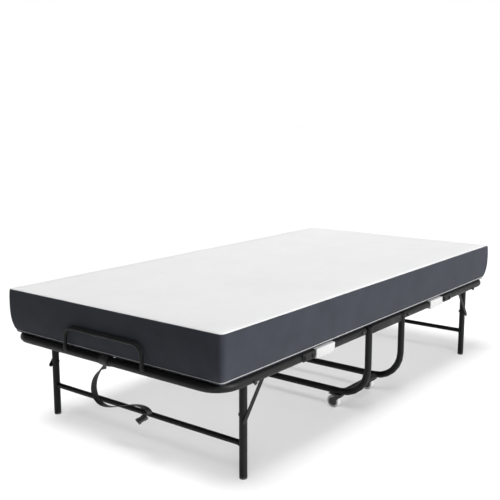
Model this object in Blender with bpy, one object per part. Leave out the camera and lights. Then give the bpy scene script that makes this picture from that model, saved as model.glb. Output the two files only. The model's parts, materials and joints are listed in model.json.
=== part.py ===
"""Rollaway bed, open: a folding steel deck on a caster base, with a foam mattress.

Units are metres. X runs along the bed (foot end at -X, head end at +X), Y across it and +Z up.
The origin is on the floor, under the middle of the bed's bounding box. The bed itself is laid out
about the middle of its caster base, and the parent empty "bed" carries it to that origin.
"""

import math

import bmesh
import bpy
from mathutils import Matrix, Vector

GAP = 0.0003  # between pieces that touch

# Mattress: 75 by 38 by 6 inches
MATTRESS_LENGTH = 1.905
MATTRESS_WIDTH = 0.965
MATTRESS_THICKNESS = 0.1525
MATTRESS_CORNER = 0.018  # plan radius of its four corners
MATTRESS_FOLD_X = 0.342  # where the underside of each folding half begins

# Folding deck
DECK_TOP = 0.3345  # upper face of the slats
RAIL_RADIUS = 0.015
RAIL_Y = 0.462  # centreline of the side rails
RAIL_Z = 0.319
END_X = 0.9375  # centreline of the end tubes
RAIL_BEND = 0.070
INNER_RAIL_RADIUS = 0.0145
INNER_RAIL_START = 0.143
SPIGOT_RADIUS = 0.0115
SPIGOT_LENGTH = 0.04
SLEEVE_X = (0.363, 0.475)
SLEEVE_WALL = 0.003
BRACKET_X = (0.482, 0.554)
SLAT_COUNT = 8
SLAT_PITCH = 0.107
SLAT_WIDTH = 0.064
SLAT_THICKNESS = 0.004
SLAT_BAR = 0.024  # width of the flat bar across the end of a slat panel
PANEL_HALF_WIDTH = 0.440
OUTER_PANEL_X = (0.575, 0.920)
INNER_PANEL_X = (0.192, 0.515)
ROD_RADIUS = 0.0042  # cross rods welded under the slats
OUTER_ROD_X = (0.605, 0.745)
INNER_ROD_X = (0.215, 0.350, 0.495)

# Fold: the two hinge lines, far enough apart for two mattress thicknesses between the upright decks
PIVOT_X = 0.172
PIVOT_Z = RAIL_Z
PIVOT_BOLT_RADIUS = 0.004

# Caster base
POST_X = 0.125
POST_Y = 0.472
POST_TOP = 0.331
BASE_TUBE_RADIUS = 0.0125
BASE_TUBE_Z = 0.068
BASE_BEND = 0.11
BASE_BAR_Y = 0.372
BASE_BAR_RADIUS = 0.010
CENTRE_RAIL_Y = (0.4465, 0.4800)
CENTRE_RAIL_Z = (0.3040, 0.3340)
EAR_Y = (0.4437, 0.4471)
EAR_RADIUS = 0.013
CENTRE_PANEL_REACH = 0.132
CENTRE_BAR_Z = 0.3120

# Legs
LEG_X = 0.797
LEG_Y = 0.4315
LEG_RADIUS = 0.0125
LEG_PIVOT_Z = 0.3095
LEG_SHAFT_RADIUS = 0.004
LEG_BAR_Z = 0.110
LEG_BAR_RADIUS = 0.009
PLUG_HEIGHT = 0.006
BRACE_Y = (0.4443, 0.4466)
BRACE_DROP = 0.110  # from the leg's pivot down to the brace's rivet
BRACE_RUN = 0.086  # from the rivet inward to the brace's upper end
BRACE_WIDTH = 0.016
BRACE_TAIL = 0.026
RIVET_RADIUS = 0.004

# Casters
WHEEL_RADIUS = 0.0245
WHEEL_WIDTH = 0.018
TYRE_INNER_RADIUS = 0.0160
CASTER_Y = 0.354  # swivel stem
CASTER_TRAIL = 0.023
STEM_RADIUS = 0.005
STEM_TOP = 0.0720
FORK_TOP = 0.0552
FORK_INNER = 0.0105
FORK_PLATE = 0.0025
AXLE_RADIUS = 0.003

# Foot-end mattress retainer and storage strap
RETAINER_X = 0.962
RETAINER_Y = (-0.1785, 0.1695)
RETAINER_TOP = 0.405
RETAINER_RADIUS = 0.0062
RETAINER_BEND = 0.036
STRAP_WIDTH = 0.025
STRAP_THICKNESS = 0.0016
STRAP_LOOP_WIDTH = 0.040
STRAP_X = -0.900
# (y, z) of the hanging strap's middle line, from under the end tube to the buckle
STRAP_ROUTE = [
    (0.004, 0.3025), (0.022, 0.2960), (0.052, 0.2810), (0.082, 0.2580), (0.102, 0.2280),
    (0.110, 0.1960), (0.103, 0.1690), (0.084, 0.1520), (0.056, 0.1460), (0.020, 0.1510),
    (-0.022, 0.1640), (-0.064, 0.1770), (-0.100, 0.1830), (-0.128, 0.1810), (-0.142, 0.1730),
    (-0.143, 0.1640),
]
BUCKLE_SIZE = (0.034, 0.009, 0.034)
BUCKLE_HEADING = (-0.80, 0.42, -0.42)  # from the strap's end to the buckle's far end
BUCKLE_SIDE = (-0.30, -0.95, 0.10)
BUCKLE_STANDOFF = 0.0095  # clears the turned edge of the webbing

MATTRESS_TOP = DECK_TOP + 0.0005 + MATTRESS_THICKNESS
BED_SHIFT = (RETAINER_X + RETAINER_RADIUS - MATTRESS_LENGTH / 2) / 2

COLOURS = {
    "frame_black": ((0.026, 0.026, 0.028), 0.42, 0.6),
    "sleeve_white": ((0.82, 0.82, 0.81), 0.45, 0.0),
    "mattress_fabric": ((0.085, 0.095, 0.115), 0.95, 0.0),
    "zinc": ((0.62, 0.63, 0.64), 0.35, 1.0),
    "wheel_white": ((0.78, 0.78, 0.77), 0.50, 0.0),
    "plastic_dark": ((0.06, 0.06, 0.065), 0.50, 0.0),
    "webbing_black": ((0.012, 0.012, 0.013), 0.90, 0.0),
}


def clear_scene():
    for item in list(bpy.context.scene.objects):
        bpy.data.objects.remove(item, do_unlink=True)


def make_material(name):
    colour, roughness, metallic = COLOURS[name]
    material = bpy.data.materials.new(name)
    material.use_nodes = True
    shader = material.node_tree.nodes["Principled BSDF"]
    shader.inputs["Base Color"].default_value = (*colour, 1.0)
    shader.inputs["Roughness"].default_value = roughness
    shader.inputs["Metallic"].default_value = metallic
    material.diffuse_color = (*colour, 1.0)
    return material


def make_empty(name, location, parent=None):
    empty = bpy.data.objects.new(name, None)
    empty.location = location
    empty.parent = parent
    bpy.context.scene.collection.objects.link(empty)
    return empty


def world_point(empty):
    """Where an empty stands, counted in the bed's own layout."""
    point = Vector(empty.location)
    while empty.parent is not None and empty.parent.name != "bed":
        empty = empty.parent
        point += empty.location
    return point if empty.name != "bed" else Vector()


def make_object(name, bm, smooth_angle=40):
    bmesh.ops.recalc_face_normals(bm, faces=bm.faces)
    mesh = bpy.data.meshes.new(name)
    bm.to_mesh(mesh)
    bm.free()
    mesh.shade_smooth()
    mesh.set_sharp_from_angle(angle=math.radians(smooth_angle))
    piece = bpy.data.objects.new(name, mesh)
    bpy.context.scene.collection.objects.link(piece)
    return piece


def finish(piece, material, parent):
    """Gives a piece its material and hangs it on its parent, with its origin on the parent's axis."""
    piece.data.materials.clear()
    piece.data.materials.append(material)
    for face in piece.data.polygons:
        face.material_index = 0
    piece.data.transform(Matrix.Translation(-world_point(parent)))
    piece.parent = parent
    return piece


def combine(piece, tool, operation):
    """Cuts a piece with a tool, or welds the two, and leaves one mesh."""
    modifier = piece.modifiers.new(operation, "BOOLEAN")
    modifier.operation = operation
    modifier.solver = "EXACT"
    modifier.object = tool
    bpy.context.view_layer.update()
    graph = bpy.context.evaluated_depsgraph_get()
    mesh = bpy.data.meshes.new_from_object(piece.evaluated_get(graph))
    piece.modifiers.clear()
    piece.data = mesh
    bpy.data.objects.remove(tool, do_unlink=True)
    mesh.shade_smooth()
    mesh.set_sharp_from_angle(angle=math.radians(40))
    return piece


def fillet(corners, radii, steps=6):
    """A polyline through corners, with an arc of the given radius at each inner corner."""
    corners = [Vector(c) for c in corners]
    points = [corners[0]]
    for before, corner, after, radius in zip(corners, corners[1:], corners[2:], radii):
        into = (before - corner).normalized()
        out = (after - corner).normalized()
        half = into.angle(out) / 2
        centre = corner + (into + out).normalized() * (radius / math.sin(half))
        start = corner + into * (radius / math.tan(half)) - centre
        axis = start.cross(corner + out * (radius / math.tan(half)) - centre).normalized()
        sweep = math.pi - 2 * half
        for step in range(steps + 1):
            points.append(centre + Matrix.Rotation(sweep * step / steps, 3, axis) @ start)
    points.append(corners[-1])
    return points


def swept(name, path, section, first_side):
    """A closed solid: a flat section carried along a path. first_side is its side axis at the start."""
    path = [Vector(p) for p in path]
    bm = bmesh.new()
    side = Vector(first_side)
    rings = []
    for index, point in enumerate(path):
        ahead = path[min(index + 1, len(path) - 1)] - point
        behind = point - path[max(index - 1, 0)]
        ahead = ahead.normalized() if ahead.length > 0 else behind.normalized()
        behind = behind.normalized() if behind.length > 0 else ahead
        tangent = (ahead + behind).normalized()
        side = (side - tangent * side.dot(tangent)).normalized()
        up = tangent.cross(side)
        stretch = 1 / max(tangent.dot(ahead), 0.5)
        bend = (ahead - behind)
        bend = bend - tangent * bend.dot(tangent)
        ring = []
        for a, b in section:
            offset = side * a + up * b
            if bend.length > 1e-6:
                across = bend.normalized()
                offset += across * offset.dot(across) * (stretch - 1)
            ring.append(bm.verts.new(point + offset))
        rings.append(ring)
    count = len(section)
    for near, far in zip(rings, rings[1:]):
        for k in range(count):
            bm.faces.new((near[k], near[(k + 1) % count], far[(k + 1) % count], far[k]))
    bm.faces.new(rings[0][::-1])
    bm.faces.new(rings[-1])
    return make_object(name, bm)


def circle_points(radius, sides):
    step = 2 * math.pi / sides
    return [(radius * math.cos((k + 0.5) * step), radius * math.sin((k + 0.5) * step))
            for k in range(sides)]


def tube(name, path, radius, sides=14):
    path = [Vector(p) for p in path]
    direction = (path[1] - path[0]).normalized()
    side = Vector((0, 0, 1)) if abs(direction.z) < 0.9 else Vector((0, 1, 0))
    return swept(name, path, circle_points(radius, sides), side)


def turned(name, axis_start, axis, profile, sides=24):
    """A solid of revolution. The profile is (distance along the axis, radius), closed on the axis."""
    start = Vector(axis_start)
    axis = Vector(axis).normalized()
    side = axis.orthogonal().normalized()
    up = axis.cross(side)
    bm = bmesh.new()
    rings = []
    for along, radius in profile:
        ring = []
        for a, b in circle_points(radius, sides):
            ring.append(bm.verts.new(start + axis * along + side * a + up * b))
        rings.append(ring)
    for near, far in zip(rings, rings[1:]):
        for k in range(sides):
            bm.faces.new((near[k], near[(k + 1) % sides], far[(k + 1) % sides], far[k]))
    bm.faces.new(rings[0][::-1])
    bm.faces.new(rings[-1])
    return make_object(name, bm)


def block(name, low, high, bevel=0.0, segments=2):
    low, high = Vector(low), Vector(high)
    bm = bmesh.new()
    bmesh.ops.create_cube(bm, size=1.0)
    for vert in bm.verts:
        vert.co = Vector([low[k] + (vert.co[k] + 0.5) * (high[k] - low[k]) for k in range(3)])
    if bevel > 0:
        bmesh.ops.bevel(bm, geom=bm.edges[:], offset=bevel, segments=segments,
                        affect="EDGES", profile=0.5)
    return make_object(name, bm)


def plate(name, outline, holes, lift, thickness, to_world):
    """A flat plate: an outline with holes, made thick along its normal and carried to its place."""
    bm = bmesh.new()
    edges = []
    for loop in [outline, *holes]:
        verts = [bm.verts.new((u, v, lift)) for u, v in loop]
        for k, vert in enumerate(verts):
            edges.append(bm.edges.new((vert, verts[(k + 1) % len(verts)])))
    bmesh.ops.triangle_fill(bm, use_beauty=True, use_dissolve=False, edges=edges)
    grown = bmesh.ops.extrude_face_region(bm, geom=bm.faces[:], use_keep_orig=True)
    top = [item for item in grown["geom"] if isinstance(item, bmesh.types.BMVert)]
    bmesh.ops.translate(bm, vec=(0, 0, thickness), verts=top)
    bmesh.ops.transform(bm, matrix=to_world, verts=bm.verts[:])
    return make_object(name, bm)


def arc(centre, radius, first, last, steps):
    """Points on an arc in the plane, angles in degrees, both ends included."""
    angles = [math.radians(first + (last - first) * k / steps) for k in range(steps + 1)]
    return [(centre[0] + radius * math.cos(a), centre[1] + radius * math.sin(a)) for a in angles]


def stadium(low, high, steps=5):
    """An upright rectangle whose ends along the first axis are half circles."""
    radius = (high[1] - low[1]) / 2
    middle = (low[1] + high[1]) / 2
    right = arc((high[0] - radius, middle), radius, -90, 90, steps)
    left = arc((low[0] + radius, middle), radius, 90, 270, steps)
    return right + left


# Plane (x, z) to the world, with thickness along +Y
UPRIGHT = Matrix(((1, 0, 0, 0), (0, 0, 1, 0), (0, 1, 0, 0), (0, 0, 0, 1)))


def hole_along_y(piece, x, z, radius, low_y, high_y, sides=12):
    tool = turned("drill", (x, low_y, z), (0, 1, 0), [(0, radius), (high_y - low_y, radius)], sides)
    return combine(piece, tool, "DIFFERENCE")


# ---------------------------------------------------------------- caster base


def make_base(parent, black):
    for end, sign in (("foot", -1), ("head", 1)):
        x = sign * POST_X
        corners = [(x, -POST_Y, POST_TOP), (x, -POST_Y, BASE_TUBE_Z),
                   (x, POST_Y, BASE_TUBE_Z), (x, POST_Y, POST_TOP)]
        u_tube = tube(f"base_tube_{end}", fillet(corners, (BASE_BEND, BASE_BEND), 6),
                      BASE_TUBE_RADIUS)
        for y in (-CASTER_Y, CASTER_Y):
            socket = turned("socket", (x, y, 0.04), (0, 0, 1),
                            [(0, STEM_RADIUS + GAP), (STEM_TOP + GAP - 0.04, STEM_RADIUS + GAP)], 12)
            combine(u_tube, socket, "DIFFERENCE")
        finish(u_tube, black, parent)
    reach = POST_X - BASE_TUBE_RADIUS - GAP
    for side, sign in (("near", -1), ("far", 1)):
        y = sign * BASE_BAR_Y
        bar = tube(f"base_crossbar_{side}", [(-reach, y, BASE_TUBE_Z), (reach, y, BASE_TUBE_Z)],
                   BASE_BAR_RADIUS)
        finish(bar, black, parent)
        make_centre_rail(side, sign, parent, black)


def make_centre_rail(side, sign, parent, black):
    """The side rail between two posts, with a hinge ear plate welded inside it."""
    reach = POST_X - BASE_TUBE_RADIUS - GAP
    low, high = sorted((sign * CENTRE_RAIL_Y[0], sign * CENTRE_RAIL_Y[1]))
    rail = block(f"centre_rail_{side}", (-reach, low, CENTRE_RAIL_Z[0]),
                 (reach, high, CENTRE_RAIL_Z[1]), bevel=0.004, segments=2)
    tip = PIVOT_X + EAR_RADIUS
    outline = stadium((-tip, PIVOT_Z - EAR_RADIUS), (tip, PIVOT_Z + EAR_RADIUS), 6)
    low, high = sorted((sign * EAR_Y[0], sign * EAR_Y[1]))
    combine(rail, plate("ear", outline, [], low, high - low, UPRIGHT), "UNION")
    for x in (-PIVOT_X, PIVOT_X):
        hole_along_y(rail, x, PIVOT_Z, PIVOT_BOLT_RADIUS + GAP, low - 0.01, high + 0.01)
    finish(rail, black, parent)


def make_pivot_bolts(parent, zinc):
    """A hinge bolt at each corner: head outside the deck rail, nut inside the ear."""
    for end, end_sign in (("foot", -1), ("head", 1)):
        for side, sign in (("near", -1), ("far", 1)):
            outer = RAIL_Y + INNER_RAIL_RADIUS + GAP
            inner = EAR_Y[0] - GAP
            nut_length, head_length = 0.005, 0.004
            profile = [(0, 0.0065), (nut_length, 0.0065), (nut_length, PIVOT_BOLT_RADIUS),
                       (nut_length + outer - inner, PIVOT_BOLT_RADIUS),
                       (nut_length + outer - inner, 0.0075),
                       (nut_length + outer - inner + head_length * 0.6, 0.0070),
                       (nut_length + outer - inner + head_length, 0.0040)]
            start = (end_sign * PIVOT_X, sign * (inner - nut_length), PIVOT_Z)
            bolt = turned(f"pivot_bolt_{end}_{side}", start, (0, sign, 0), profile, 12)
            finish(bolt, zinc, parent)


def slat_panel(name, x_range, rods, mirror, corner=0.004):
    """Flat slats between two flat bars, with round cross rods welded underneath."""
    low, high = x_range
    edge = PANEL_HALF_WIDTH
    slat_edge = (SLAT_PITCH * (SLAT_COUNT - 1) + SLAT_WIDTH) / 2
    gap_half = (SLAT_PITCH - SLAT_WIDTH) / 2
    slat_low, slat_high = low + SLAT_BAR, high - SLAT_BAR
    turn = math.degrees(math.acos(max(0.0, 1 - SLAT_BAR / corner)))
    rounded = arc((high - corner, edge - corner), corner, 0, turn, 4)
    if turn > 89:
        rounded.append((slat_high, edge))
    outer_end = rounded + [(slat_high, slat_edge), (slat_low, slat_edge), (slat_low, edge)]
    outline = outer_end + [(low, edge), (low, -edge)] + [(u, -v) for u, v in outer_end[::-1]]
    slots = []
    for k in range(1, SLAT_COUNT):
        y = (k - SLAT_COUNT / 2) * SLAT_PITCH
        slots.append(stadium((slat_low, y - gap_half), (slat_high, y + gap_half), 3))
    panel = plate(name, outline, slots, DECK_TOP - SLAT_THICKNESS, SLAT_THICKNESS,
                  Matrix.Scale(mirror, 4, (1, 0, 0)))
    weld = 0.0004
    rod_z = DECK_TOP - SLAT_THICKNESS - ROD_RADIUS + weld
    rod_end = RAIL_Y - RAIL_RADIUS - GAP
    for x in rods:
        rod = tube("rod", [(mirror * x, -rod_end, rod_z), (mirror * x, rod_end, rod_z)],
                   ROD_RADIUS, 8)
        combine(panel, rod, "UNION")
    return panel


def make_centre_slats(parent, black):
    """The fixed platform between the posts: two bars across the bed and short slats over them."""
    edge = PANEL_HALF_WIDTH
    reach = CENTRE_PANEL_REACH
    slot_low, slot_high = -reach + SLAT_BAR, reach - SLAT_BAR
    gap_half = (SLAT_PITCH - SLAT_WIDTH) / 2
    slots = []
    for k in range(1, SLAT_COUNT):
        y = (k - SLAT_COUNT / 2) * SLAT_PITCH
        slots.append(stadium((slot_low, y - gap_half), (slot_high, y + gap_half), 3))
    outline = [(-reach, -edge), (reach, -edge), (reach, edge), (-reach, edge)]
    panel = plate("centre_slats", outline, slots, DECK_TOP - SLAT_THICKNESS, SLAT_THICKNESS,
                  Matrix.Identity(4))
    weld = 0.0004
    low_z, high_z = CENTRE_BAR_Z, DECK_TOP - SLAT_THICKNESS + weld
    for sign in (-1, 1):
        x_low, x_high = sorted((sign * (reach - 0.002), sign * (reach - 0.022)))
        bar = block("bar", (x_low, -EAR_Y[0] + GAP, low_z), (x_high, EAR_Y[0] - GAP, high_z))
        combine(panel, bar, "UNION")
    finish(panel, black, parent)


# ---------------------------------------------------------------- folding decks


def make_deck(end, mirror, pivot, materials):
    """One folding half: end frame, inner rails, sleeves, brackets, slats and the legs' shaft."""
    black, white, zinc = (materials[k] for k in ("frame_black", "sleeve_white", "zinc"))
    rail_start = SLEEVE_X[1] + GAP
    corners = [(mirror * rail_start, -RAIL_Y, RAIL_Z), (mirror * END_X, -RAIL_Y, RAIL_Z),
               (mirror * END_X, RAIL_Y, RAIL_Z), (mirror * rail_start, RAIL_Y, RAIL_Z)]
    frame = tube(f"{end}_end_frame", fillet(corners, (RAIL_BEND, RAIL_BEND), 6), RAIL_RADIUS)
    for sign in (-1, 1):
        socket_start = (mirror * (rail_start - 0.01), sign * RAIL_Y, RAIL_Z)
        socket = turned("socket", socket_start, (mirror, 0, 0),
                        [(0, SPIGOT_RADIUS + GAP), (SPIGOT_LENGTH + 0.01, SPIGOT_RADIUS + GAP)], 16)
        combine(frame, socket, "DIFFERENCE")
    hole_along_y(frame, mirror * LEG_X, LEG_PIVOT_Z, LEG_SHAFT_RADIUS + GAP, -0.5, 0.5)
    finish(frame, black, pivot)

    for side, sign in (("near", -1), ("far", 1)):
        make_inner_rail(f"{end}_inner_rail_{side}", mirror, sign, pivot, black)
        make_sleeve(f"{end}_sleeve_{side}", mirror, sign, pivot, white)
        make_bracket(f"{end}_bracket_{side}", mirror, sign, pivot, black)

    finish(slat_panel(f"{end}_outer_slats", OUTER_PANEL_X, OUTER_ROD_X, mirror, RAIL_BEND - 0.0175),
           black, pivot)
    finish(slat_panel(f"{end}_inner_slats", INNER_PANEL_X, INNER_ROD_X, mirror), black, pivot)

    head = 0.0035
    shaft_end = RAIL_Y + RAIL_RADIUS + GAP
    profile = [(-head, 0.005), (-head * 0.4, 0.007), (0, 0.007), (0, LEG_SHAFT_RADIUS),
               (2 * shaft_end, LEG_SHAFT_RADIUS), (2 * shaft_end, 0.007),
               (2 * shaft_end + head * 0.4, 0.007), (2 * shaft_end + head, 0.005)]
    shaft = turned(f"{end}_leg_shaft", (mirror * LEG_X, -shaft_end, LEG_PIVOT_Z), (0, 1, 0),
                   profile, 12)
    finish(shaft, zinc, pivot)


def make_inner_rail(name, mirror, sign, pivot, black):
    """A straight tube from the fold's hinge through the sleeve, with a spigot into the end frame."""
    start = (mirror * INNER_RAIL_START, sign * RAIL_Y, RAIL_Z)
    length = SLEEVE_X[1] - INNER_RAIL_START
    nose = 0.003
    profile = [(0, INNER_RAIL_RADIUS - nose), (nose, INNER_RAIL_RADIUS),
               (length, INNER_RAIL_RADIUS), (length, SPIGOT_RADIUS),
               (length + SPIGOT_LENGTH - GAP, SPIGOT_RADIUS)]
    rail = turned(name, start, (mirror, 0, 0), profile, 16)
    hole_along_y(rail, mirror * PIVOT_X, PIVOT_Z, PIVOT_BOLT_RADIUS + GAP, sign * RAIL_Y - 0.05,
                 sign * RAIL_Y + 0.05)
    finish(rail, black, pivot)


def make_sleeve(name, mirror, sign, pivot, white):
    """A moulded sleeve round the joint between the two lengths of rail."""
    reach = INNER_RAIL_RADIUS + SLEEVE_WALL
    x_low, x_high = sorted((mirror * SLEEVE_X[0], mirror * SLEEVE_X[1]))
    sleeve = block(name, (x_low, sign * RAIL_Y - reach, RAIL_Z - reach - 0.0005),
                   (x_high, sign * RAIL_Y + reach, RAIL_Z + 0.0157), bevel=0.004, segments=2)
    bore = turned("bore", (x_low - 0.01, sign * RAIL_Y, RAIL_Z), (1, 0, 0),
                  [(0, INNER_RAIL_RADIUS + GAP), (x_high - x_low + 0.02, INNER_RAIL_RADIUS + GAP)], 16)
    combine(sleeve, bore, "DIFFERENCE")
    finish(sleeve, white, pivot)


def make_bracket(name, mirror, sign, pivot, black):
    """A joint plate on the rail's outer side, with two bolt heads."""
    inner = RAIL_Y + RAIL_RADIUS + GAP
    thickness = 0.0025
    low, high = sorted((sign * inner, sign * (inner + thickness)))
    x_low, x_high = sorted((mirror * BRACKET_X[0], mirror * BRACKET_X[1]))
    bracket = block(name, (x_low, low, RAIL_Z - 0.011), (x_high, high, RAIL_Z + 0.0150),
                    bevel=0.001, segments=1)
    for x in (x_low + 0.014, x_high - 0.014):
        head = turned("head", (x, sign * (inner + thickness - 0.0005), RAIL_Z), (0, sign, 0),
                      [(0, 0.0065), (0.0030, 0.0065), (0.0042, 0.0045)], 10)
        combine(bracket, head, "UNION")
    finish(bracket, black, pivot)


# ---------------------------------------------------------------- legs


def make_leg(end, mirror, leg_pivot, brace_pivot, materials):
    """A leg frame of two tubes and a crossbar, its plugs, and the two braces riveted to it."""
    black, dark, zinc = (materials[k] for k in ("frame_black", "plastic_dark", "zinc"))
    top = LEG_PIVOT_Z + LEG_RADIUS
    nose = 0.003
    x = mirror * LEG_X
    profile = [(PLUG_HEIGHT + GAP, LEG_RADIUS), (top - nose, LEG_RADIUS), (top, LEG_RADIUS - nose)]
    frame = turned(f"{end}_leg_frame", (x, -LEG_Y, 0), (0, 0, 1), profile, 16)
    combine(frame, turned("leg", (x, LEG_Y, 0), (0, 0, 1), profile, 16), "UNION")
    bar = tube("bar", [(x, -LEG_Y, LEG_BAR_Z), (x, LEG_Y, LEG_BAR_Z)], LEG_BAR_RADIUS, 16)
    combine(frame, bar, "UNION")
    hole_along_y(frame, x, LEG_PIVOT_Z, LEG_SHAFT_RADIUS + GAP, -0.5, 0.5)
    rivet_z = LEG_PIVOT_Z - BRACE_DROP
    spigot_radius, spigot_length = 0.0085, 0.020
    for side, sign in (("near", -1), ("far", 1)):
        y = sign * LEG_Y
        hole_along_y(frame, x, rivet_z, RIVET_RADIUS + GAP, y - 0.02, y + 0.02)
        socket = turned("socket", (x, y, -0.01), (0, 0, 1),
                        [(0, spigot_radius + GAP), (0.01 + spigot_length + GAP, spigot_radius + GAP)], 12)
        combine(frame, socket, "DIFFERENCE")
        plug = turned(f"{end}_leg_plug_{side}", (x, y, 0), (0, 0, 1),
                      [(0, LEG_RADIUS - 0.001), (0.001, LEG_RADIUS), (PLUG_HEIGHT, LEG_RADIUS),
                       (PLUG_HEIGHT, spigot_radius), (spigot_length, spigot_radius)], 12)
        finish(plug, dark, leg_pivot)
        make_brace(f"{end}_brace_{side}", mirror, sign, rivet_z, brace_pivot, black)
    finish(frame, black, leg_pivot)


def make_brace(name, mirror, sign, rivet_z, brace_pivot, black):
    """A flat strip on the leg's outer face, riveted through it, from a short tail up to the rail."""
    length = math.hypot(BRACE_RUN, BRACE_DROP)
    half = BRACE_WIDTH / 2
    outline = stadium((-BRACE_TAIL, -half), (length + half, half), 6)
    slope = math.atan2(BRACE_DROP, BRACE_RUN)
    thickness = BRACE_Y[1] - BRACE_Y[0]
    low = min(sign * BRACE_Y[0], sign * BRACE_Y[1])
    lean = Matrix.Rotation(-slope, 4, "Y")
    # inward is +X on the foot half and -X on the head half
    flip = Matrix.Scale(-mirror, 4, (1, 0, 0))
    place = Matrix.Translation((mirror * LEG_X, 0, rivet_z)) @ flip @ lean @ UPRIGHT
    brace = plate(name, outline, [], low, thickness, place)
    inner_face = LEG_Y - LEG_RADIUS - GAP
    head = 0.003
    profile = [(-head, 0.0045), (-head * 0.4, 0.0065), (0, 0.0065), (0, RIVET_RADIUS),
               (BRACE_Y[0] - inner_face + 0.0005, RIVET_RADIUS)]
    rivet = turned("rivet", (mirror * LEG_X, sign * inner_face, rivet_z), (0, sign, 0), profile, 12)
    combine(brace, rivet, "UNION")
    finish(brace, black, brace_pivot)


# ---------------------------------------------------------------- casters


def make_caster(corner, x, y, swivel, axle, materials):
    """A swivel fork with a brake tab, a hub that turns on the fork's axle holes, and a tyre."""
    dark, white = materials["plastic_dark"], materials["wheel_white"]
    wheel_y = y + CASTER_TRAIL
    stem = turned(f"fork_{corner}", (x, y, 0), (0, 0, 1),
                  [(FORK_TOP - 0.0045, 0.0130), (FORK_TOP - 0.0010, 0.0140), (FORK_TOP, 0.0135),
                   (FORK_TOP, STEM_RADIUS), (STEM_TOP, STEM_RADIUS)], 12)
    outline = (arc((wheel_y, WHEEL_RADIUS), 0.0075, 180, 360, 4)
               + [(wheel_y + 0.0075, WHEEL_RADIUS + 0.006), (y + 0.008, FORK_TOP - 0.0008),
                  (y - 0.012, FORK_TOP - 0.0008), (y - 0.012, FORK_TOP - 0.008)])
    turn = Matrix(((0, 0, 1, 0), (1, 0, 0, 0), (0, 1, 0, 0), (0, 0, 0, 1)))
    for low in (x - FORK_INNER - FORK_PLATE, x + FORK_INNER):
        combine(stem, plate("cheek", outline, [], low, FORK_PLATE, turn), "UNION")
    roof = block("roof", (x - FORK_INNER - 0.001, y - 0.0118, FORK_TOP - 0.0040),
                 (x + FORK_INNER + 0.001, wheel_y - 0.003, FORK_TOP - 0.0012))
    combine(stem, roof, "UNION")
    tab_low = FORK_TOP - 0.0048
    tab = block("tab", (x - 0.008, wheel_y - 0.006, tab_low), (x + 0.008, wheel_y + 0.020, FORK_TOP - 0.0016),
                bevel=0.0012, segments=1)
    combine(stem, tab, "UNION")
    bore = turned("bore", (x - 0.02, wheel_y, WHEEL_RADIUS), (1, 0, 0),
                  [(0, AXLE_RADIUS + GAP), (0.04, AXLE_RADIUS + GAP)], 12)
    combine(stem, bore, "DIFFERENCE")
    finish(stem, dark, swivel)

    half = WHEEL_WIDTH / 2
    hub_profile = [(-FORK_INNER - FORK_PLATE - 0.001, AXLE_RADIUS), (-half - 0.0010, AXLE_RADIUS),
                   (-half - 0.0010, 0.0060), (-half + 0.0015, 0.0075),
                   (-half + 0.0015, TYRE_INNER_RADIUS - GAP), (half - 0.0015, TYRE_INNER_RADIUS - GAP),
                   (half - 0.0015, 0.0075), (half + 0.0010, 0.0060), (half + 0.0010, AXLE_RADIUS),
                   (FORK_INNER + FORK_PLATE + 0.001, AXLE_RADIUS)]
    hub = turned(f"hub_{corner}", (x, wheel_y, WHEEL_RADIUS), (1, 0, 0), hub_profile, 12)
    finish(hub, dark, axle)
    tyre = make_tyre(f"tyre_{corner}", (x, wheel_y, WHEEL_RADIUS))
    finish(tyre, white, axle)


def make_tyre(name, centre, sides=24):
    """A ring with a rounded tread, turned about the X axis through its centre."""
    half = WHEEL_WIDTH / 2
    section = [(-half, TYRE_INNER_RADIUS), (-half, WHEEL_RADIUS - 0.003),
               (-half + 0.003, WHEEL_RADIUS), (half - 0.003, WHEEL_RADIUS),
               (half, WHEEL_RADIUS - 0.003), (half, TYRE_INNER_RADIUS)]
    bm = bmesh.new()
    rings = []
    for k in range(sides):
        angle = 2 * math.pi * k / sides
        rings.append([bm.verts.new((centre[0] + a, centre[1] + r * math.sin(angle),
                                    centre[2] + r * math.cos(angle))) for a, r in section])
    count = len(section)
    for k, ring in enumerate(rings):
        following = rings[(k + 1) % sides]
        for j in range(count):
            bm.faces.new((ring[j], ring[(j + 1) % count], following[(j + 1) % count], following[j]))
    return make_object(name, bm)


# ---------------------------------------------------------------- mattress


def mattress_body(name):
    """The whole mattress: rounded corners, sides that bulge a little and draw in at the bottom."""
    bottom = DECK_TOP + 0.0005
    levels = [(0.000, 0.0240), (0.006, 0.0145), (0.020, 0.0085), (0.045, 0.0040), (0.080, 0.000),
              (0.115, 0.000), (0.140, 0.0005), (0.149, 0.0015), (MATTRESS_THICKNESS, 0.0035)]
    bm = bmesh.new()
    rings = []
    for height, inset in levels:
        radius = MATTRESS_CORNER - inset * 0.4
        half_x = MATTRESS_LENGTH / 2 - inset
        half_y = MATTRESS_WIDTH / 2 - inset
        ring = []
        for sx, sy, first in ((1, 1, 0), (-1, 1, 90), (-1, -1, 180), (1, -1, 270)):
            centre = (sx * (half_x - radius), sy * (half_y - radius))
            for u, v in arc(centre, radius, first, first + 90, 5):
                ring.append(bm.verts.new((u, v, bottom + height)))
        rings.append(ring)
    count = len(rings[0])
    for near, far in zip(rings, rings[1:]):
        for k in range(count):
            bm.faces.new((near[k], near[(k + 1) % count], far[(k + 1) % count], far[k]))
    bm.faces.new(rings[0][::-1])
    bm.faces.new(rings[-1])
    return make_object(name, bm)


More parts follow.
